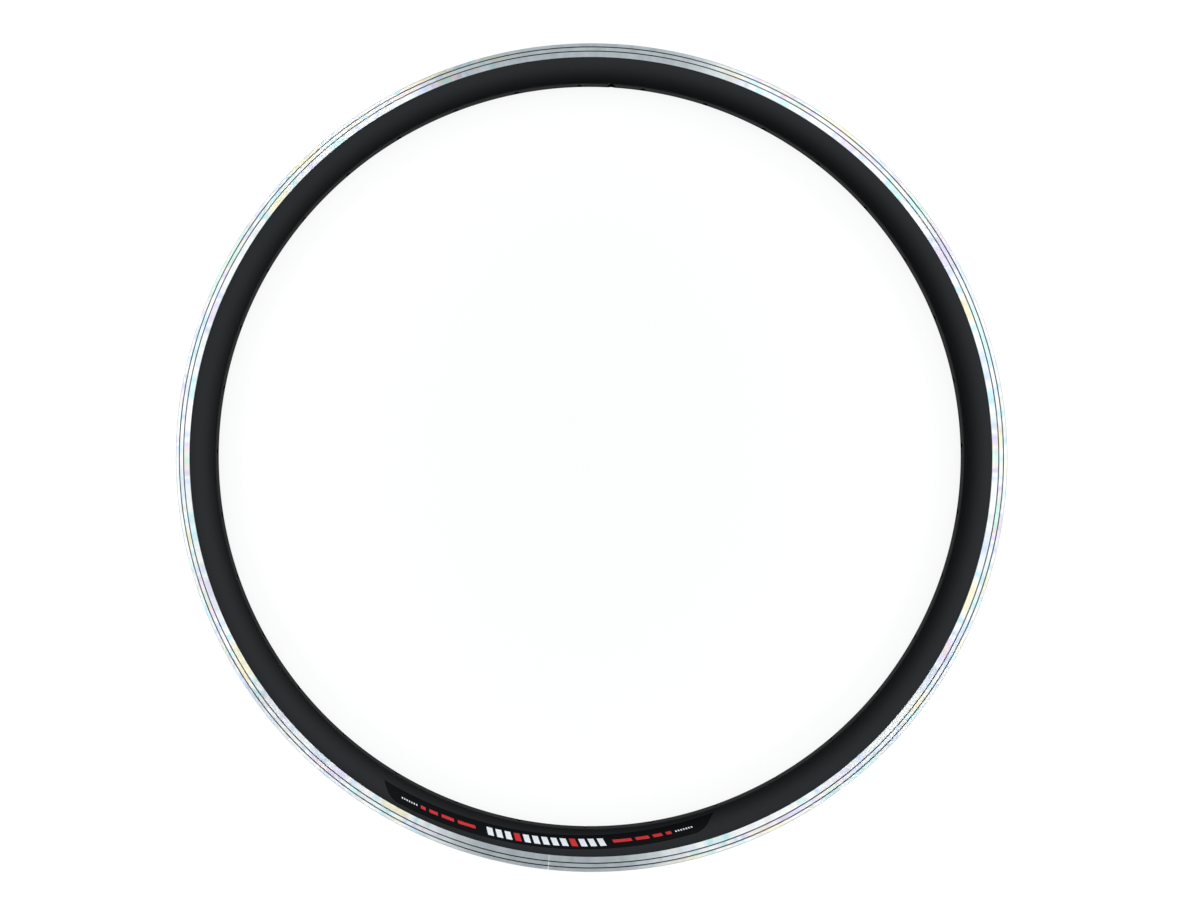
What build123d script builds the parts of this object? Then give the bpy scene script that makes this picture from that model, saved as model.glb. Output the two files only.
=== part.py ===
from build123d import *
import math
import os

os.makedirs("parts", exist_ok=True)

# Rim sizes in mm: a 622 x 15 hooked road rim that lies flat, wheel axis on Z, valve hole towards +Y
bead_seat_diameter = 622.0
flange_height = 6.0  # lip above the bead seat
rim_width = 20.0  # over the two brake tracks
rim_depth = 31.0  # lip to nose

# Tyre channel
hook_gap = 15.0  # clear width between the two bead hooks
hook_height = 1.9  # straight face of a hook, lip included
side_wall = 1.7  # side wall between the bead seat and the hook
seat_width = 2.0  # flat bead seat beside the side wall
well_depth = 2.6  # drop-centre well below the bead seat
well_slope = 1.3  # sideways run of the slope between seat and well
lip_chamfer = 0.6

# Brake track
track_height = 11.1  # machined band, lip to flank
groove_drops = (3.06, 6.47)  # wear grooves below the lip
groove_width = 0.8
groove_depth = 0.35

# Hollow section
bed_wall = 1.3  # tyre bed
flank_wall = 1.25
spoke_bed = 2.4  # wall at the nose, which carries the spokes
nose_round = 4.8  # outside radius of the nose

# Drilling
spoke_count = 36
spoke_hole = 4.5  # diameter, for the nipple's body
access_hole = 9.0  # diameter in the tyre bed, for the nipple's head and its driver
valve_hole = 6.5  # diameter, through both walls

# Butt joint opposite the valve hole
seam_gap = 0.1
sleeve_length = 38.0
sleeve_wall = 1.6
sleeve_clearance = 0.08

# Printed film on the upper flank
film_thickness = 0.15
film_clearance = 0.3  # glue line between film and flank
film_margin = 4.9  # from the brake track to the film's middle, seen from above
film_height = 9.4  # across the film, seen from above
film_inner_length = 256.8  # along the inner edge
film_outer_length = 242.0  # along the outer edge, which leaves slanted ends
film_corner = 6.0  # outer corners; the inner ones are pointed
film_shift = 5.0  # towards -X, as laid by hand

valve_angle = 90.0  # degrees from +X
seam_angle = valve_angle + 180.0
seat_radius = bead_seat_diameter / 2
lip_radius = seat_radius + flange_height
track_radius = lip_radius - track_height
nose_tip = lip_radius - rim_depth
well_radius = seat_radius - well_depth
half_width = rim_width / 2
hook_half = hook_gap / 2
wall_half = half_width - side_wall
seat_half = wall_half - seat_width
well_half = seat_half - well_slope
# The hollow's corners under the bed shift sideways, which keeps the bed's wall even on its slopes
bed_mitre = bed_wall * math.tan(math.atan2(well_depth, well_slope) / 2)

# The flank leaves the track parallel to it and runs tangent into the nose
nose_drop = track_radius - nose_tip - nose_round
flank_round = (nose_drop**2 + half_width**2 - nose_round**2) / (2 * (half_width - nose_round))
flank_centre = Vector(track_radius, half_width - flank_round)

# The hollow follows the flank, and its own nose leaves the spoke bed thicker than the flank
hollow_round = flank_round - flank_wall
hollow_tip = nose_tip + spoke_bed
hollow_drop = track_radius - hollow_tip
hollow_nose = (hollow_round**2 - hollow_drop**2 - flank_centre.Y**2) / (2 * (hollow_round - hollow_drop))


def section_face(half_points, tip, nose):
    # Half an outline from the bed to the track's edge, then the flank, their mirror images, and the bed and
    # the nose that cross the mid plane
    nose_centre = Vector(tip + nose, 0)
    meeting = nose_centre + (nose_centre - flank_centre).normalized() * nose
    half = Polyline(*half_points) + TangentArc(half_points[-1], meeting, tangent=(-1, 0))
    bed_edge = Vector(*half_points[0])
    bed = Line(bed_edge, (bed_edge.X, -bed_edge.Y))
    nose_arc = ThreePointArc(meeting, (tip, 0), (meeting.X, -meeting.Y))
    return make_face(half + mirror(half, about=Plane.XZ) + [bed, nose_arc])


def swept_arc(face, middle, arc):
    # Turns a section about the wheel axis, through an arc centred on one direction
    return Rot(0, 0, middle - arc / 2) * revolve(Plane.XZ * face, Axis.Z, arc)


def radial_hole(direction, diameter, start, end):
    # Round cutter on a spoke line, between two radii
    middle = Pos((start + end) / 2, 0, 0) * Rot(0, 90, 0)
    return Rot(0, 0, direction) * middle * Cylinder(diameter / 2, end - start)


def degrees_along(length, radius):
    return math.degrees(length / radius)


# Rim section: channel, hook, lip, grooved track, flank and nose
groove_points = [
    (lip_radius - drop + across, half_width - down)
    for drop in groove_drops
    for across, down in ((groove_width / 2, 0), (0, groove_depth), (-groove_width / 2, 0))
]
outer_half = [
    (well_radius, well_half),
    (seat_radius, seat_half),
    (seat_radius, wall_half),
    (lip_radius - hook_height - (wall_half - hook_half), wall_half),
    (lip_radius - hook_height, hook_half),
    (lip_radius - lip_chamfer, hook_half),
    (lip_radius, hook_half + lip_chamfer),
    (lip_radius, half_width - lip_chamfer),
    (lip_radius - lip_chamfer, half_width),
    *groove_points,
    (track_radius, half_width),
]
hollow_half = [
    (well_radius - bed_wall, well_half + bed_mitre),
    (seat_radius - bed_wall, seat_half + bed_mitre),
    (seat_radius - bed_wall, half_width - flank_wall),
    (track_radius, half_width - flank_wall),
]
hollow = section_face(hollow_half, hollow_tip, hollow_nose)
section = section_face(outer_half, nose_tip, nose_round) - hollow

# Hoop, rolled from the section and butted at the seam, then drilled
seam_arc = degrees_along(seam_gap, lip_radius)
rim_hoop = swept_arc(section, valve_angle, 360 - seam_arc)
hollow_middle = (hollow_tip + well_radius) / 2
cutters = [radial_hole(valve_angle, valve_hole, nose_tip - nose_round, lip_radius)]
spoke_pitch = 360 / spoke_count
for spoke in range(spoke_count):
    direction = valve_angle + (spoke + 0.5) * spoke_pitch
    cutters.append(radial_hole(direction, spoke_hole, nose_tip - nose_round, hollow_middle))
    cutters.append(radial_hole(direction, access_hole, hollow_middle, lip_radius))
rim_hoop = rim_hoop - cutters

# Sleeve, a short hollow insert that bridges the butt joint inside the hoop
sleeve_face = offset(hollow, -sleeve_clearance) - offset(hollow, -sleeve_clearance - sleeve_wall)
joint_sleeve = swept_arc(sleeve_face, seam_angle, degrees_along(sleeve_length, seat_radius))

# Film, a skin on the upper flank trimmed to its slanted outline
film_seat = flank_round + film_clearance
skin = Pos(*flank_centre) * (Circle(film_seat + film_thickness) - Circle(film_seat))
film_outer_radius = track_radius - film_margin
film_inner_radius = film_outer_radius - film_height
film_inner_arc = degrees_along(film_inner_length, film_inner_radius)
film_outer_arc = degrees_along(film_outer_length, film_outer_radius)
film_reach = film_height + 2 * film_shift
band = Pos(film_outer_radius - film_height / 2, half_width / 2) * Rectangle(film_reach, rim_width)
inner_edge = CenterArc((0, 0), film_inner_radius, seam_angle - film_inner_arc / 2, film_inner_arc)
outer_edge = CenterArc((0, 0), film_outer_radius, seam_angle - film_outer_arc / 2, film_outer_arc)
ends = [Line(inner_edge @ end, outer_edge @ end) for end in (0, 1)]
plan = make_face([inner_edge, ends[1], outer_edge, ends[0]])
plan = fillet(plan.vertices().sort_by_distance((0, 0))[-2:], film_corner)
film_arc = degrees_along(film_inner_length + film_reach, film_inner_radius)
film_strip = swept_arc(skin & band, seam_angle, film_arc)
decal_film = film_strip & extrude(Pos(-film_shift, 0) * plan, rim_width)

export_step(rim_hoop, "parts/rim_hoop.step")
export_step(joint_sleeve, "parts/joint_sleeve.step")
export_step(decal_film, "parts/decal_film.step")
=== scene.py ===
import bpy
import bmesh
from math import atan2, cos, hypot, pi, radians, sin, sqrt, tan
from mathutils import Matrix, Vector


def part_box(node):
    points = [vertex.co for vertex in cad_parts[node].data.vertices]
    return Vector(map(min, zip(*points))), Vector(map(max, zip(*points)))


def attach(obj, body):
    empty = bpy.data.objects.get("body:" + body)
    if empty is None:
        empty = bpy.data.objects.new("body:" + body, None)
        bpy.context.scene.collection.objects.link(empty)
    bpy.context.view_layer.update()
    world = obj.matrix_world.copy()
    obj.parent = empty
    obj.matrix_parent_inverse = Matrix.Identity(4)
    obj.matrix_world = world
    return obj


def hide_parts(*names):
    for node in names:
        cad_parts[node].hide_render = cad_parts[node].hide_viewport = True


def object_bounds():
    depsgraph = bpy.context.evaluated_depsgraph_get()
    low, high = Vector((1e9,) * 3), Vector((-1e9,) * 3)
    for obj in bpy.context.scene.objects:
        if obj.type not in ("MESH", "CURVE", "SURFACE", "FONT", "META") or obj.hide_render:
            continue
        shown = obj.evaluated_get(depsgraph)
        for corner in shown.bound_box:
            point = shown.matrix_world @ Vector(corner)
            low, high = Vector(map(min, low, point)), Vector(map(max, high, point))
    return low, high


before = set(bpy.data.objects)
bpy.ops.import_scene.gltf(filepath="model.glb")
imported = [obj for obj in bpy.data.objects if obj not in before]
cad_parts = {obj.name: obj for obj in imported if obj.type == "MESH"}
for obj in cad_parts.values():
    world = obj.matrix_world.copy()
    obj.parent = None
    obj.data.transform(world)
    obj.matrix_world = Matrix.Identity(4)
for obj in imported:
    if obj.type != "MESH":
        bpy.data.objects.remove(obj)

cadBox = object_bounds()
scene = bpy.context.scene
scene.view_settings.view_transform = 'Standard'
mm = 0.001


def linear(hexColor):  # sRGB hex to the linear colour that shaders take
    parts = [int(hexColor[i:i + 2], 16) / 255 for i in (1, 3, 5)]
    return [c / 12.92 if c <= 0.04045 else ((c + 0.055) / 1.055) ** 2.4 for c in parts] + [1.0]


def addNode(tree, kind, inputs=None, **settings):  # inputs hold values, or sockets to link
    node = tree.nodes.new(kind)
    for name, value in settings.items():
        setattr(node, name, value)
    for name, value in (inputs or {}).items():
        if isinstance(value, bpy.types.NodeSocket):
            tree.links.new(value, node.inputs[name])
        else:
            node.inputs[name].default_value = value
    return node


def newMaterial(name):
    material = bpy.data.materials.new(name)
    material.use_nodes = True
    material.node_tree.nodes.clear()
    return material, material.node_tree


def linkPiece(mesh, name):
    piece = bpy.data.objects.new(name, mesh)
    scene.collection.objects.link(piece)
    return piece


def shadeSmooth(piece, sharpAngle):  # edges sharper than the angle stay crisp
    piece.data.polygons.foreach_set('use_smooth', [True] * len(piece.data.polygons))
    piece.data.set_sharp_from_angle(angle=radians(sharpAngle))


def meshFrom(bm, name):  # bmesh work is in mm, the scene in metres
    bmesh.ops.scale(bm, vec=(mm, mm, mm), verts=bm.verts[:])
    mesh = bpy.data.meshes.new(name)
    bm.to_mesh(mesh)
    bm.free()
    return mesh


# hoop sizes in mm, with lip and width taken from the frame
hoopLow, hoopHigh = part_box('rim_hoop')
hoop = {
    'lipRadius': min(hoopHigh.x, hoopHigh.y, -hoopLow.x, -hoopLow.y) / mm,
    'halfWidth': hoopHigh.z / mm,
    'rimDepth': 31.0,
    'trackHeight': 11.1,
    'grooveDrops': (3.06, 6.47),  # wear grooves below the lip
    'grooveWidth': 0.8,
    'grooveDepth': 0.35,
    'flangeHeight': 6.0,
    'hookGap': 15.0,
    'hookHeight': 1.9,
    'sideWall': 1.7,
    'seatWidth': 2.0,
    'wellDepth': 2.6,
    'wellSlope': 1.3,
    'bedWall': 1.3,
    'flankWall': 1.25,
    'spokeBed': 2.4,
    'noseRound': 4.8,
    'lipRound': 0.6,
    'spokeCount': 36,
    'spokeHole': 4.5,
    'accessHole': 9.0,
    'valveHole': 6.5,
    'seamGap': 0.1,
    'noseOverrun': 5.0,  # cutters past the nose and the sides
    'lipOverrun': 2.0,  # cutters past the lip
    'drillStop': 1.0,  # each drill ends this far from the middle of the hollow
    'turns': 360,  # steps round the wheel
    'flankSteps': 16,  # on the flank, and again on the nose
    'hollowSteps': 8,
    'holeSteps': 40,
    'sharp': 28,  # degrees
    'weld': 0.01,
    'nearEdge': 0.05,
}
roundSteps = 5  # on each rounded corner, of hoop and film
lip = hoop['lipRadius']
half = hoop['halfWidth']
seat = lip - hoop['flangeHeight']
well = seat - hoop['wellDepth']
track = lip - hoop['trackHeight']
tip = lip - hoop['rimDepth']
wallHalf = half - hoop['sideWall']
seatHalf = wallHalf - hoop['seatWidth']
wellHalf = seatHalf - hoop['wellSlope']

# the flank is one arc that leaves the track level and runs into the nose
noseDrop = track - tip - hoop['noseRound']
flankRound = (noseDrop ** 2 + half ** 2 - hoop['noseRound'] ** 2) / (2 * (half - hoop['noseRound']))
flankLow = half - flankRound  # height of that arc's centre, under the track's inner edge
hollowTip = tip + hoop['spokeBed']
hollowRound = flankRound - hoop['flankWall']
hollowDrop = track - hollowTip
hollowNose = (hollowRound ** 2 - hollowDrop ** 2 - flankLow ** 2) / (2 * (hollowRound - hollowDrop))


def drawLine(bm, points):  # edges in the section plane, radius along X
    verts = [bm.verts.new((x, 0, z)) for x, z in points]
    for a, b in zip(verts, verts[1:]):
        bm.edges.new((a, b))
    return verts


def roundCorners(bm, verts, radius):
    bmesh.ops.bevel(bm, geom=verts, offset=radius, offset_type='OFFSET', segments=roundSteps, profile=0.5,
                    affect='VERTICES', material=-1)


def sweepVert(bm, vert, centre, angle, steps):
    swept = bmesh.ops.spin(bm, geom=[vert], cent=(centre[0], 0, centre[1]), axis=(0, 1, 0),
                           angle=angle, steps=steps)
    return [v for v in swept['geom_last'] if isinstance(v, bmesh.types.BMVert)][0]


def sweepFlankAndNose(bm, start, tipRadius, nose, steps):
    noseCentre = tipRadius + nose
    lean = atan2(track - noseCentre, -flankLow)
    meeting = sweepVert(bm, start, (track, flankLow), -lean, steps)
    sweepVert(bm, meeting, (noseCentre, 0), lean - pi / 2, steps)


def turnSection(bm):  # the other half by mirror, then once round the wheel axis
    bmesh.ops.mirror(bm, geom=bm.verts[:] + bm.edges[:], matrix=Matrix.Identity(4),
                     merge_dist=hoop['weld'], axis='Z')
    halfStep = Matrix.Rotation(pi / hoop['turns'], 3, 'Z')  # keeps the steps off the drilling lines
    bmesh.ops.rotate(bm, cent=(0, 0, 0), matrix=halfStep, verts=bm.verts[:])
    bmesh.ops.spin(bm, geom=bm.verts[:] + bm.edges[:], cent=(0, 0, 0), axis=(0, 0, 1), angle=2 * pi,
                   steps=hoop['turns'], use_merge=True)
    bmesh.ops.remove_doubles(bm, verts=bm.verts[:], dist=hoop['weld'])
    bmesh.ops.recalc_face_normals(bm, faces=bm.faces[:])


def buildBody():
    bm = bmesh.new()
    hookHalf = hoop['hookGap'] / 2
    hookTop = lip - hoop['hookHeight']
    points = [(well, 0), (well, wellHalf), (seat, seatHalf), (seat, wallHalf),
              (hookTop - wallHalf + hookHalf, wallHalf), (hookTop, hookHalf), (lip, hookHalf), (lip, half)]
    for drop in hoop['grooveDrops']:
        points += [(lip - drop + hoop['grooveWidth'] / 2, half), (lip - drop, half - hoop['grooveDepth']),
                   (lip - drop - hoop['grooveWidth'] / 2, half)]
    verts = drawLine(bm, points + [(track, half)])
    sweepFlankAndNose(bm, verts[-1], tip, hoop['noseRound'], hoop['flankSteps'])
    roundCorners(bm, verts[1:4] + verts[5:8], hoop['lipRound'])
    turnSection(bm)
    return meshFrom(bm, 'hoopBody')


def buildHollow():
    bm = bmesh.new()
    mitre = hoop['bedWall'] * tan(atan2(hoop['wellDepth'], hoop['wellSlope']) / 2)
    side = half - hoop['flankWall']
    points = [(well - hoop['bedWall'], 0), (well - hoop['bedWall'], wellHalf + mitre),
              (seat - hoop['bedWall'], seatHalf + mitre), (seat - hoop['bedWall'], side), (track, side)]
    verts = drawLine(bm, points)
    sweepFlankAndNose(bm, verts[-1], hollowTip, hollowNose, hoop['hollowSteps'])
    turnSection(bm)
    return meshFrom(bm, 'hoopHollow')


def buildDrills():
    bm = bmesh.new()
    middle = (hollowTip + well) / 2
    inside = tip - hoop['noseOverrun']
    outside = lip + hoop['lipOverrun']

    def drill(angle, diameter, start, end):
        place = Matrix.Rotation(angle, 4, 'Z') @ Matrix.Translation(((start + end) / 2, 0, 0))
        bmesh.ops.create_cone(bm, cap_ends=True, segments=hoop['holeSteps'], radius1=diameter / 2,
                              radius2=diameter / 2, depth=end - start,
                              matrix=place @ Matrix.Rotation(pi / 2, 4, 'Y'))

    drill(pi / 2, hoop['valveHole'], inside, outside)
    for i in range(hoop['spokeCount']):
        angle = pi / 2 + (i + 0.5) * 2 * pi / hoop['spokeCount']
        drill(angle, hoop['spokeHole'], inside, middle - hoop['drillStop'])
        drill(angle, hoop['accessHole'], middle + hoop['drillStop'], outside)
    # a thin slab parts the two ends at the seam, down to the flank, where the anodised skin closes it
    slab = bmesh.ops.create_cube(bm, size=1)['verts']
    slabSize = (hoop['seamGap'], hoop['trackHeight'] + hoop['lipOverrun'], 2 * half + 2 * hoop['noseOverrun'])
    bmesh.ops.scale(bm, vec=slabSize, verts=slab)
    bmesh.ops.translate(bm, vec=(0, -(track + outside) / 2, 0), verts=slab)
    return meshFrom(bm, 'hoopDrills')


def cutAway(piece, toolMeshes):
    tools = [linkPiece(mesh, 'tool') for mesh in toolMeshes]
    for tool in tools:
        cut = piece.modifiers.new('cut', 'BOOLEAN')
        cut.operation = 'DIFFERENCE'
        cut.solver = 'MANIFOLD'
        cut.object = tool
    shape = bpy.data.meshes.new_from_object(piece.evaluated_get(bpy.context.evaluated_depsgraph_get()))
    piece.modifiers.clear()
    # the cut leaves empty material slots, and slivers where holes cross long faces
    shape.materials.clear()
    bm = bmesh.new()
    bm.from_mesh(shape)
    bmesh.ops.triangulate(bm, faces=[f for f in bm.faces if len(f.verts) > 4])
    bmesh.ops.dissolve_degenerate(bm, dist=hoop['weld'] * mm, edges=bm.edges[:])
    bm.to_mesh(shape)
    bm.free()
    piece.data = shape
    for tool in tools:
        bpy.data.objects.remove(tool)


def onRoundsEdge(vert):  # where the flat track meets the lip's round
    level = abs(abs(vert.co.z / mm) - half) < hoop['weld']
    return level and abs(hypot(vert.co.x, vert.co.y) / mm - lip + hoop['lipRound']) < hoop['nearEdge']


rimPiece = linkPiece(buildBody(), 'rimHoop')
cutAway(rimPiece, [buildHollow(), buildDrills()])
shadeSmooth(rimPiece, hoop['sharp'])
# the track stays flat right up to the lip's round
onEdge = [onRoundsEdge(v) for v in rimPiece.data.vertices]
for edge in rimPiece.data.edges:
    if all(onEdge[i] for i in edge.vertices):
        edge.use_edge_sharp = True
print('hoop', len(rimPiece.data.polygons), 'faces')

# printed film on the upper flank, sizes in mm seen from above
film = {
    'margin': 4.9,  # from the track to the film's outer edge
    'height': 9.4,
    'innerLength': 256.8,
    'outerLength': 242.0,
    'corner': 6.0,  # outer corners, the inner ones are pointed
    'shift': 5.0,  # towards -X, as laid by hand
    'clearance': 0.12,
    'thickness': 0.15,
    'slant': 0.55,  # sideways lean of the bars for each mm of height
    'whiteBars': [-43, -36, -29, -15, -8, -1, 6, 13, 27, 34, 41],
    'redBars': [-22, 20],
    'barWidth': 4.6,
    'barLow': 2.3,
    'barHigh': 7.3,
    'dashLow': 3.6,
    'dashHigh': 5.6,
    'redDashes': [(52, 66), (69, 79), (82, 89), (92, 96)],  # repeated on the other side, as the dots are
    'dotLow': 4.1,
    'dotHigh': 5.1,
    'whiteDots': [(99 + 2 * i, 100 + 2 * i) for i in range(7)],
    'bendRows': (1.2, 8.4),  # cuts along the strip that let it bend beside the print
    'bendReach': 126,
    'bendStep': 3,
    'sharp': 40,  # degrees
}
filmOuter = track - film['margin']
filmInner = filmOuter - film['height']
filmMiddle = (filmInner + filmOuter) / 2


def cutAcross(bm, point, normal):
    bmesh.ops.bisect_plane(bm, geom=bm.verts[:] + bm.edges[:] + bm.faces[:], dist=1e-5,
                           plane_co=point, plane_no=normal)


def buildFilm():  # flat strip first, X along the middle arc, Y across
    bm = bmesh.new()
    halfIn = film['innerLength'] * (filmMiddle / filmInner / 2)
    halfOut = film['outerLength'] * (filmMiddle / filmOuter / 2)
    corners = [(-halfIn, 0), (halfIn, 0), (halfOut, film['height']), (-halfOut, film['height'])]
    face = bm.faces.new([bm.verts.new((x, y, 0)) for x, y in corners])
    roundCorners(bm, face.verts[2:4], film['corner'])
    # cuts along the print's outlines, then enough others to bend the strip evenly
    for edge in ('barLow', 'barHigh', 'dashLow', 'dashHigh', 'dotLow', 'dotHigh'):
        cutAcross(bm, (0, film[edge], 0), (0, 1, 0))
    for y in film['bendRows']:
        cutAcross(bm, (0, y, 0), (0, 1, 0))
    inks = []
    for ink, starts in (('white', film['whiteBars']), ('red', film['redBars'])):
        inks += [(ink, x, x + film['barWidth'], film['barLow'], film['barHigh']) for x in starts]
    for ink, marks, kind in (('red', film['redDashes'], 'dash'), ('white', film['whiteDots'], 'dot')):
        for start, end in marks:
            inks.append((ink, start, end, film[kind + 'Low'], film[kind + 'High']))
            inks.append((ink, -end, -start, film[kind + 'Low'], film[kind + 'High']))
    for ink, start, end, low, high in inks:
        for x in (start, end):
            cutAcross(bm, (x, film['height'] / 2, 0), (1, -film['slant'], 0))
    for x in range(-film['bendReach'], film['bendReach'] + 1, film['bendStep']):
        cutAcross(bm, (x, 0, 0), (1, 0, 0))
    for face in bm.faces:
        spot = face.calc_center_median()
        across = spot.x - film['slant'] * (spot.y - film['height'] / 2)
        for ink, start, end, low, high in inks:
            if start < across < end and low < spot.y < high:
                face.material_index = 1 if ink == 'white' else 2
    # wrap the strip round the wheel, print outwards, and lay it on the flank
    for vert in bm.verts:
        angle = -pi / 2 + vert.co.x / filmMiddle
        radius = filmInner + vert.co.y
        x, y = radius * cos(angle) - film['shift'], radius * sin(angle)
        rise = flankRound + film['clearance']
        vert.co = (x, y, flankLow + sqrt(rise ** 2 - (track - hypot(x, y)) ** 2))
    bmesh.ops.recalc_face_normals(bm, faces=bm.faces[:])
    if sum(f.normal.z for f in bm.faces) < 0:
        bmesh.ops.reverse_faces(bm, faces=bm.faces[:])
    bmesh.ops.solidify(bm, geom=bm.faces[:], thickness=-film['thickness'])
    return meshFrom(bm, 'decalFilm')


filmPiece = linkPiece(buildFilm(), 'decalFilm')
shadeSmooth(filmPiece, film['sharp'])
print('film', len(filmPiece.data.polygons), 'faces')


def noiseNode(tree, where, size, detail):  # noise with marks of about this size in mm
    return addNode(tree, 'ShaderNodeTexNoise', {
        'Vector': where.outputs['Object'], 'Scale': 1 / (size * mm), 'Detail': detail})


def ringNode(tree, radius, pitch, detail):  # noise that changes with the radius alone
    return addNode(tree, 'ShaderNodeTexNoise', {
        'W': radius.outputs['Value'], 'Scale': 1 / (pitch * mm), 'Detail': detail}, noise_dimensions='1D')


def radiusNode(tree, where):  # distance from the wheel axis
    flat = addNode(tree, 'ShaderNodeVectorMath', {0: where.outputs['Object'], 1: (1, 1, 0)},
                   operation='MULTIPLY')
    return addNode(tree, 'ShaderNodeVectorMath', {0: flat.outputs[0]}, operation='LENGTH')


def blendNode(tree, factor, low, high):
    return addNode(tree, 'ShaderNodeMix', {'Factor': factor.outputs['Fac'], 'A': linear(low),
                                           'B': linear(high)}, data_type='RGBA')


def turnedAluminium():
    # aluminium bared by a lathe tool after anodising: fine rings pull its highlights out along the radius;
    # the pale colours that such rings split from a lamp's light are painted into the colour, whiter and
    # tinted on the two sides where the lamps are reflected
    finish = {
        'plain': '#E7EAEB',
        'roughness': 0.32,
        'patchLength': 56.0,  # mm of rim to a patch of painted reflection colour
        'patchDetail': 0.7,
        'sparkLength': 9.0,  # mm of rim to a glint
        'sparkDetail': 2.0,
        'sparkRange': (0.3, 0.6),
        'dullest': 0.85,  # tone between the glints
        'bandShift': 7.3,  # moves the patterns of the three bands apart
        'paintedReflectionRange': (0.22, 0.36),  # sideways share of the radius at which the painted reflection colours come in
        'ringPitch': 0.5,  # mm, real rings are near 0.1 and too fine to show
        'ringDark': 0.94,
        'seamWidth': 0.65,  # mm, ends of the hoop dressed with a file
        'filedRoughness': 0.85,
        # painted reflection colours, near white and pale, for the lamps' light split by the rings
        'paintedReflectionTints': [(0.33, '#FDF5D8'), (0.38, '#FDFCF9'), (0.42, '#D3F4F6'), (0.455, '#FDFCF9'),
                  (0.50, '#FDFCF9'), (0.54, '#DFE9FB'), (0.575, '#FDFCF9'), (0.61, '#E9E0FA'),
                  (0.655, '#FFEEE9'), (0.70, '#DFF8EB')],
    }
    material, tree = newMaterial('turnedAluminium')
    where = addNode(tree, 'ShaderNodeTexCoord')
    split = addNode(tree, 'ShaderNodeSeparateXYZ', {'Vector': where.outputs['Object']})
    angle = addNode(tree, 'ShaderNodeMath', {0: split.outputs['X'], 1: split.outputs['Y']},
                    operation='ARCTAN2')
    radius = radiusNode(tree, where)
    # three bands, parted by the wear grooves, each with patches of its own
    bands = []
    for drop in hoop['grooveDrops']:
        bands.append(addNode(tree, 'ShaderNodeMath', {0: radius.outputs['Value'], 1: (lip - drop) * mm},
                             operation='GREATER_THAN'))
    band = addNode(tree, 'ShaderNodeMath', {0: bands[0].outputs[0], 1: bands[1].outputs[0]}, operation='ADD')
    across = addNode(tree, 'ShaderNodeMath', {0: band.outputs[0], 1: finish['bandShift']},
                     operation='MULTIPLY')
    noises = []
    for kind in ('patch', 'spark'):
        along = addNode(tree, 'ShaderNodeMath', {0: angle.outputs[0], 1: lip / finish[kind + 'Length']},
                        operation='MULTIPLY')
        spot = addNode(tree, 'ShaderNodeCombineXYZ', {'X': along.outputs[0], 'Y': across.outputs[0]})
        noises.append(addNode(tree, 'ShaderNodeTexNoise', {
            'Vector': spot.outputs[0], 'Scale': 1.0, 'Detail': finish[kind + 'Detail']}))
    patches, sparks = noises
    paintedReflectionTints = addNode(tree, 'ShaderNodeValToRGB', {'Fac': patches.outputs['Fac']})
    ramp = paintedReflectionTints.color_ramp
    while len(ramp.elements) < len(finish['paintedReflectionTints']):
        ramp.elements.new(0.5)
    for element, (place, color) in zip(ramp.elements, finish['paintedReflectionTints']):
        element.position = place
        element.color = linear(color)
    # painted reflection: the whiter, tinted colours lie on the two sides where the lamps are reflected, and
    # fade out towards the valve hole and the seam
    sideways = addNode(tree, 'ShaderNodeMath', {0: split.outputs['X'], 1: radius.outputs['Value']},
                       operation='DIVIDE')
    sideways = addNode(tree, 'ShaderNodeMath', {0: sideways.outputs[0]}, operation='ABSOLUTE')
    paintedReflectionMask = addNode(tree, 'ShaderNodeMapRange', {
        'Value': sideways.outputs[0], 'From Min': finish['paintedReflectionRange'][0],
        'From Max': finish['paintedReflectionRange'][1]}, interpolation_type='SMOOTHSTEP')
    paintedReflectionColor = addNode(tree, 'ShaderNodeMix', {'Factor': paintedReflectionMask.outputs[0], 'A': linear(finish['plain']),
                                             'B': paintedReflectionTints.outputs['Color']}, data_type='RGBA')
    glints = addNode(tree, 'ShaderNodeMapRange', {
        'Value': sparks.outputs['Fac'], 'From Min': finish['sparkRange'][0],
        'From Max': finish['sparkRange'][1], 'To Min': finish['dullest'], 'To Max': 1.0})
    rings = ringNode(tree, radius, finish['ringPitch'], 2.0)
    ringTone = addNode(tree, 'ShaderNodeMapRange', {'Value': rings.outputs['Fac'],
                                                    'To Min': finish['ringDark'], 'To Max': 1.0})
    tone = addNode(tree, 'ShaderNodeMath', {0: glints.outputs[0], 1: ringTone.outputs[0]},
                   operation='MULTIPLY')
    color = addNode(tree, 'ShaderNodeVectorMath', {0: paintedReflectionColor.outputs[2], 1: tone.outputs[0]},
                    operation='MULTIPLY')
    # filed ends scatter light, so the seam shows as a pale line
    offLine = addNode(tree, 'ShaderNodeMath', {0: split.outputs['X']}, operation='ABSOLUTE')
    onLine = addNode(tree, 'ShaderNodeMath', {0: offLine.outputs[0], 1: finish['seamWidth'] / 2 * mm},
                     operation='LESS_THAN')
    atFoot = addNode(tree, 'ShaderNodeMath', {0: split.outputs['Y'], 1: 0.0}, operation='LESS_THAN')
    seam = addNode(tree, 'ShaderNodeMath', {0: onLine.outputs[0], 1: atFoot.outputs[0]}, operation='MULTIPLY')
    rough = addNode(tree, 'ShaderNodeMapRange', {'Value': seam.outputs[0], 'To Min': finish['roughness'],
                                                 'To Max': finish['filedRoughness']})
    lathe = addNode(tree, 'ShaderNodeTangent', direction_type='RADIAL', axis='Z')
    bare = addNode(tree, 'ShaderNodeMath', {0: 1.0, 1: seam.outputs[0]}, operation='SUBTRACT')
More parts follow.
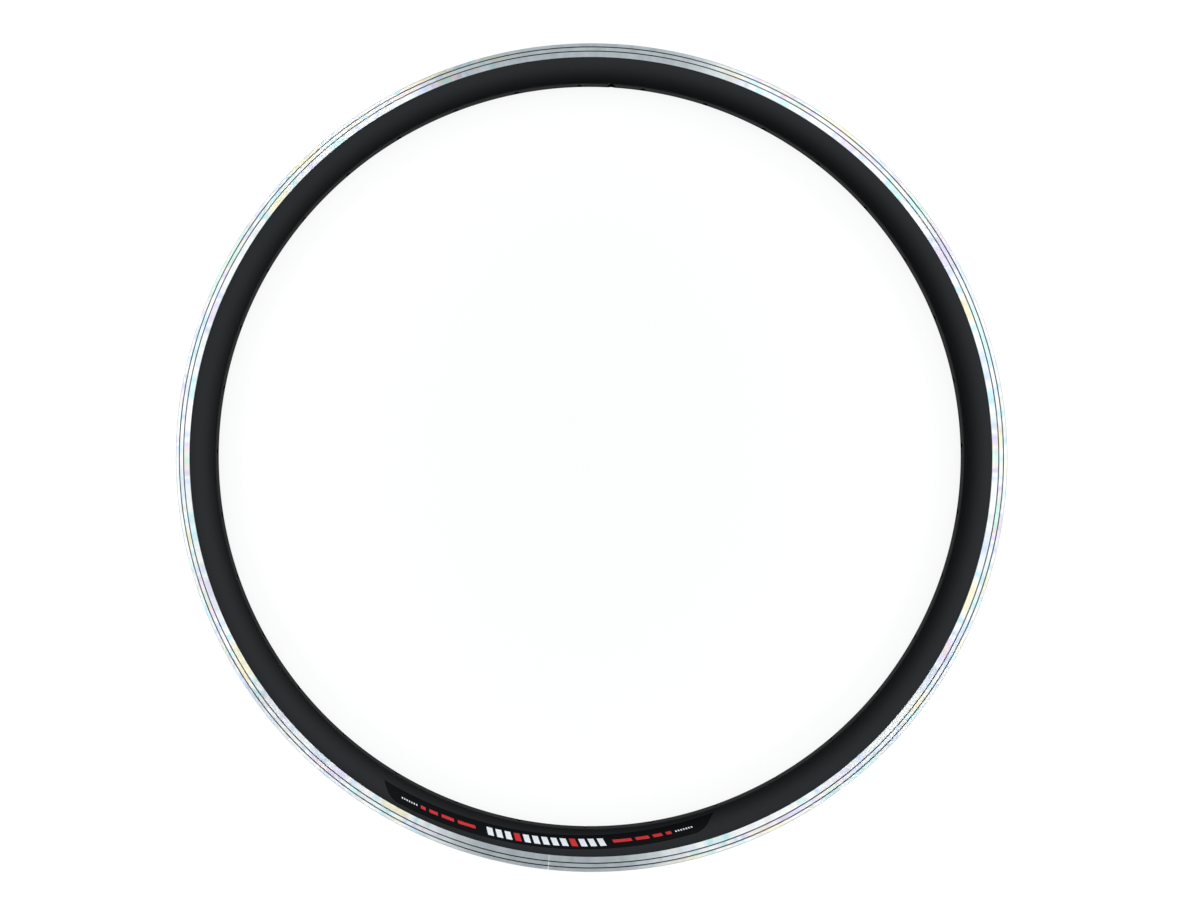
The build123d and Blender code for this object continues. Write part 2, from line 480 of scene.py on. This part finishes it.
    # a quarter turn lays the highlight across the rings
    metal = addNode(tree, 'ShaderNodeBsdfPrincipled', {
        'Base Color': color.outputs[0], 'Metallic': bare.outputs[0], 'Roughness': rough.outputs[0],
        'Anisotropic': 1.0, 'Anisotropic Rotation': 0.25, 'Tangent': lathe.outputs[0]})
    addNode(tree, 'ShaderNodeOutputMaterial', {'Surface': metal.outputs[0]})
    return material


def shadedLipAluminium():
    # lip of the rim: the turned metal of the track again, in a darker and rougher copy that is painted shade,
    # dull and pale beside the turned track
    finish = {'dark': '#B6B9BC', 'light': '#CDD0D2', 'scratch': 0.8, 'roughness': 0.85}
    material, tree = newMaterial('lipAluminiumPaintedShade')
    where = addNode(tree, 'ShaderNodeTexCoord')
    scratches = noiseNode(tree, where, finish['scratch'], 2.0)
    color = blendNode(tree, scratches, finish['dark'], finish['light'])
    metal = addNode(tree, 'ShaderNodeBsdfPrincipled', {'Base Color': color.outputs[2], 'Metallic': 1.0,
                                                       'Roughness': finish['roughness']})
    addNode(tree, 'ShaderNodeOutputMaterial', {'Surface': metal.outputs[0]})
    return material


def blackAnodised():
    # aluminium blasted with fine beads and anodised black: a dark metal with a soft satin sheen and a faint
    # grain, which shades itself at a slant, so the edges don't brighten
    finish = {
        'dark': '#303031',
        'light': '#373738',
        'slant': '#AEAEAE',  # tint of the sheen at a low angle
        'roughness': 0.3,
        'roughSpread': 0.06,
        'grain': 0.7,  # mm, real blast marks are near 0.1 and too fine to show
        'bump': 0.12,
        'bumpDepth': 0.02,  # mm
    }
    material, tree = newMaterial('blackAnodisedAluminium')
    where = addNode(tree, 'ShaderNodeTexCoord')
    grain = noiseNode(tree, where, finish['grain'], 3.0)
    color = blendNode(tree, grain, finish['dark'], finish['light'])
    rough = addNode(tree, 'ShaderNodeMapRange', {
        'Value': grain.outputs['Fac'], 'To Min': finish['roughness'] - finish['roughSpread'],
        'To Max': finish['roughness'] + finish['roughSpread']})
    bump = addNode(tree, 'ShaderNodeBump', {'Height': grain.outputs['Fac'], 'Strength': finish['bump'],
                                            'Distance': finish['bumpDepth'] * mm})
    skin = addNode(tree, 'ShaderNodeBsdfPrincipled', {
        'Base Color': color.outputs[2], 'Metallic': 1.0, 'Roughness': rough.outputs[0],
        'Specular Tint': linear(finish['slant']), 'Normal': bump.outputs[0]})
    addNode(tree, 'ShaderNodeOutputMaterial', {'Surface': skin.outputs[0]})
    return material


rimPiece.data.materials.append(blackAnodised())
rimPiece.data.materials.append(turnedAluminium())
rimPiece.data.materials.append(shadedLipAluminium())
for face in rimPiece.data.polygons:
    spot = face.center / mm
    radius = hypot(spot.x, spot.y)
    onTrack = abs(abs(spot.z) - half) < hoop['weld'] and radius > track
    # the lip's round takes that darker copy of the metal, a painted shade
    onLip = radius > lip - hoop['lipRound'] and abs(spot.z) > half - hoop['lipRound']
    face.material_index = 1 if onTrack else 2 if onLip else 0

vinyl = {
    'mottle': 2.5,  # mm
    'roughLow': 0.2,
    'roughHigh': 0.28,
    # name, darker tone, lighter tone, gloss
    'inks': (('blackVinylFilm', '#060607', '#09090A', 0.08),
             ('whiteInkOnVinyl', '#E4E8F0', '#EEF1F6', 0.25),
             ('redInkOnVinyl', '#C81E26', '#D4262C', 0.25)),
}


def printedVinyl(name, low, high, gloss):
    # cast vinyl with screen ink: even colours with a slight mottle and a smooth, weak gloss
    material, tree = newMaterial(name)
    where = addNode(tree, 'ShaderNodeTexCoord')
    mottle = noiseNode(tree, where, vinyl['mottle'], 2.0)
    color = blendNode(tree, mottle, low, high)
    rough = addNode(tree, 'ShaderNodeMapRange', {'Value': mottle.outputs['Fac'], 'To Min': vinyl['roughLow'],
                                                 'To Max': vinyl['roughHigh']})
    skin = addNode(tree, 'ShaderNodeBsdfPrincipled', {
        'Base Color': color.outputs[2], 'Roughness': rough.outputs[0], 'Specular IOR Level': gloss})
    addNode(tree, 'ShaderNodeOutputMaterial', {'Surface': skin.outputs[0]})
    return material


for ink in vinyl['inks']:
    filmPiece.data.materials.append(printedVinyl(*ink))


def millAluminium():
    # extruded aluminium left as it came from the die, with faint lines along its length
    finish = {'dark': '#B9BCBF', 'light': '#D3D5D7', 'linePitch': 0.4, 'roughness': 0.4}
    material, tree = newMaterial('millFinishAluminium')
    where = addNode(tree, 'ShaderNodeTexCoord')
    lines = ringNode(tree, radiusNode(tree, where), finish['linePitch'], 2.0)
    color = blendNode(tree, lines, finish['dark'], finish['light'])
    metal = addNode(tree, 'ShaderNodeBsdfPrincipled', {'Base Color': color.outputs[2], 'Metallic': 1.0,
                                                       'Roughness': finish['roughness']})
    addNode(tree, 'ShaderNodeOutputMaterial', {'Surface': metal.outputs[0]})
    return material


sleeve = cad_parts['joint_sleeve']
sleeve.data.materials.clear()
sleeve.data.materials.append(millAluminium())
print('finishes done')

for piece, node, slot in ((rimPiece, 'rim_hoop', 'rim_metal'), (filmPiece, 'decal_film', 'decal_film')):
    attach(piece, 'root')
    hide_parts(node)

# studio floor that bends up into a wall far out, all in metres
cove = {
    'radius': 6.0,
    'wall': 3.5,
    'bend': 1.5,
    'segments': 96,
    'bendSteps': 12,
    'shown': '#FFFFFF',
    'paper': '#C0C0C0',
    'glow': 0.9,
    'fadeStart': 1.1,
    'fadeEnd': 1.5,
}


def buildCove():
    bm = bmesh.new()
    bmesh.ops.create_circle(bm, cap_ends=True, segments=cove['segments'], radius=cove['radius'])
    rim = [e for e in bm.edges if e.is_boundary]
    raised = bmesh.ops.extrude_edge_only(bm, edges=rim)['geom']
    wallTop = [g for g in raised if isinstance(g, bmesh.types.BMVert)]
    bmesh.ops.translate(bm, vec=(0, 0, cove['wall']), verts=wallTop)
    bmesh.ops.bevel(bm, geom=rim, offset=cove['bend'], offset_type='OFFSET', segments=cove['bendSteps'],
                    profile=0.5, affect='EDGES', material=-1)
    bmesh.ops.translate(bm, vec=(0, 0, cadBox[0].z), verts=bm.verts[:])
    bmesh.ops.recalc_face_normals(bm, faces=bm.faces[:])
    mesh = bpy.data.meshes.new('studioFloor')
    bm.to_mesh(mesh)
    bm.free()
    return mesh


def studioPaper():
    # matt grey paper whose floor shows as white, with the object's shadow left on it
    material, tree = newMaterial('studioPaper')
    plain = addNode(tree, 'ShaderNodeBsdfDiffuse', {'Color': linear(cove['paper'])})
    shownPaper = addNode(tree, 'ShaderNodeBsdfDiffuse', {'Color': linear(cove['shown'])})
    glow = addNode(tree, 'ShaderNodeEmission', {'Color': linear(cove['shown']), 'Strength': 1.0})
    shown = addNode(tree, 'ShaderNodeMixShader', {'Fac': cove['glow'], 1: shownPaper.outputs[0],
                                                  2: glow.outputs[0]})
    path = addNode(tree, 'ShaderNodeLightPath')
    seen = addNode(tree, 'ShaderNodeMath', {
        0: path.outputs['Is Camera Ray'], 1: path.outputs['Is Glossy Ray']}, operation='ADD')
    seen = addNode(tree, 'ShaderNodeMath', {0: seen.outputs[0], 1: path.outputs['Is Transmission Ray']},
                   operation='ADD', use_clamp=True)
    # the white fades to grey towards the top of the bend
    where = addNode(tree, 'ShaderNodeTexCoord')
    split = addNode(tree, 'ShaderNodeSeparateXYZ', {'Vector': where.outputs['Object']})
    white = addNode(tree, 'ShaderNodeMapRange', {'Value': split.outputs['Z'], 'From Min': cove['fadeStart'],
                                                 'From Max': cove['fadeEnd'], 'To Min': 1.0, 'To Max': 0.0})
    white = addNode(tree, 'ShaderNodeMath', {0: white.outputs[0], 1: seen.outputs[0]}, operation='MULTIPLY')
    paper = addNode(tree, 'ShaderNodeMixShader', {'Fac': white.outputs[0], 1: plain.outputs[0],
                                                  2: shown.outputs[0]})
    addNode(tree, 'ShaderNodeOutputMaterial', {'Surface': paper.outputs[0]})
    return material


floor = linkPiece(buildCove(), 'studioFloor')
floor.data.materials.append(studioPaper())
floor.data.polygons.foreach_set('use_smooth', [True] * len(floor.data.polygons))

# low soft lamps behind grids to the left and right, each on its own arc, and a broad glow overhead
light = {
    'height': 0.34,
    'step': 0.002,  # each lamp a little above the last, because their corners overlap
    'distance': 0.95,
    'depth': 0.4,  # along the radius
    # degrees clockwise from the valve hole
    'rightArcs': ((14, 47), (49, 87), (87, 124), (126, 164)),
    'leftArcs': ((196, 231), (233, 242), (243, 273), (273, 302), (304, 307), (309, 332)),
    'beam': 138,  # degrees, which keeps each lamp to its own side of the hoop
    'rightRadiance': 16.5,
    'leftRadiance': 17.0,
    'overhead': 1.02,
    'overheadColor': '#EFF9FF',
    'overheadTilt': (10, 12),  # degrees off the vertical, to the right and towards the valve hole
    'overheadPower': 3.7,  # how fast the glow falls off around that direction
    'room': 0.11,
    'fill': 0.35,
    'fillSize': 2.4,
    'fillHeight': 1.6,
}
for side in ('right', 'left'):
    for number, (start, end) in enumerate(light[side + 'Arcs']):
        lamp = bpy.data.lights.new(side + 'Lamp', 'AREA')
        lamp.shape = 'RECTANGLE'
        lamp.size = 2 * light['distance'] * tan(radians(end - start) / 2)
        lamp.size_y = light['depth']
        lamp.spread = radians(light['beam'])
        lamp.energy = light[side + 'Radiance'] * pi * lamp.size * lamp.size_y
        lampObject = bpy.data.objects.new(lamp.name, lamp)
        bearing = -radians((start + end) / 2)
        height = light['height'] + number * light['step']
        lampObject.location = Matrix.Rotation(bearing, 3, 'Z') @ Vector((0, light['distance'], height))
        lampObject.rotation_euler = (0, 0, bearing)
        lampObject.visible_camera = False
        scene.collection.objects.link(lampObject)

# a broad fill for colours alone, kept out of the reflections
fill = bpy.data.lights.new('fillLamp', 'AREA')
fill.shape = 'DISK'
fill.size = light['fillSize']
fillLoss = 1 + (2 * light['fillHeight'] / light['fillSize']) ** 2  # radiance for each unit at the object
fill.energy = light['fill'] * fillLoss * pi * pi * fill.size ** 2 / 4
fillObject = bpy.data.objects.new(fill.name, fill)
fillObject.location = (0, 0, light['fillHeight'])
fillObject.visible_camera = False
fillObject.visible_glossy = False
scene.collection.objects.link(fillObject)

world = bpy.data.worlds.new('studioRoom')
world.use_nodes = True
world.node_tree.nodes.clear()
room = world.node_tree
where = addNode(room, 'ShaderNodeTexCoord')
middle = Vector([tan(radians(tilt)) for tilt in light['overheadTilt']] + [1]).normalized()
facing = addNode(room, 'ShaderNodeVectorMath', {0: where.outputs['Generated'], 1: middle},
                 operation='DOT_PRODUCT')
facing = addNode(room, 'ShaderNodeMath', {0: facing.outputs['Value'], 1: 0.0}, operation='MAXIMUM')
glow = addNode(room, 'ShaderNodeMath', {0: facing.outputs[0], 1: light['overheadPower']}, operation='POWER')
tone = addNode(room, 'ShaderNodeMapRange', {'Value': glow.outputs[0], 'To Min': light['room'],
                                            'To Max': light['overhead']})
back = addNode(room, 'ShaderNodeBackground', {'Color': linear(light['overheadColor']),
                                              'Strength': tone.outputs[0]})
addNode(room, 'ShaderNodeOutputWorld', {'Surface': back.outputs[0]})
scene.world = world

# camera matched to the photograph's frame of 1200 x 900
view = {
    'place': (0.00867, -0.05483, 0.89845),
    'angles': (3.855, 3.696, 4.829),
    'lens': 34.91,
    'sensor': 36,
    'shift': (0.0731, -0.0067),
}
camera = bpy.data.cameras.new('photoCamera')
camera.sensor_width = view['sensor']
camera.lens = view['lens']
camera.shift_x, camera.shift_y = view['shift']
cameraObject = bpy.data.objects.new('photoCamera', camera)
cameraObject.location = view['place']
cameraObject.rotation_euler = [radians(a) for a in view['angles']]
scene.collection.objects.link(cameraObject)
scene.camera = cameraObject
print('floor, lamps and camera set')
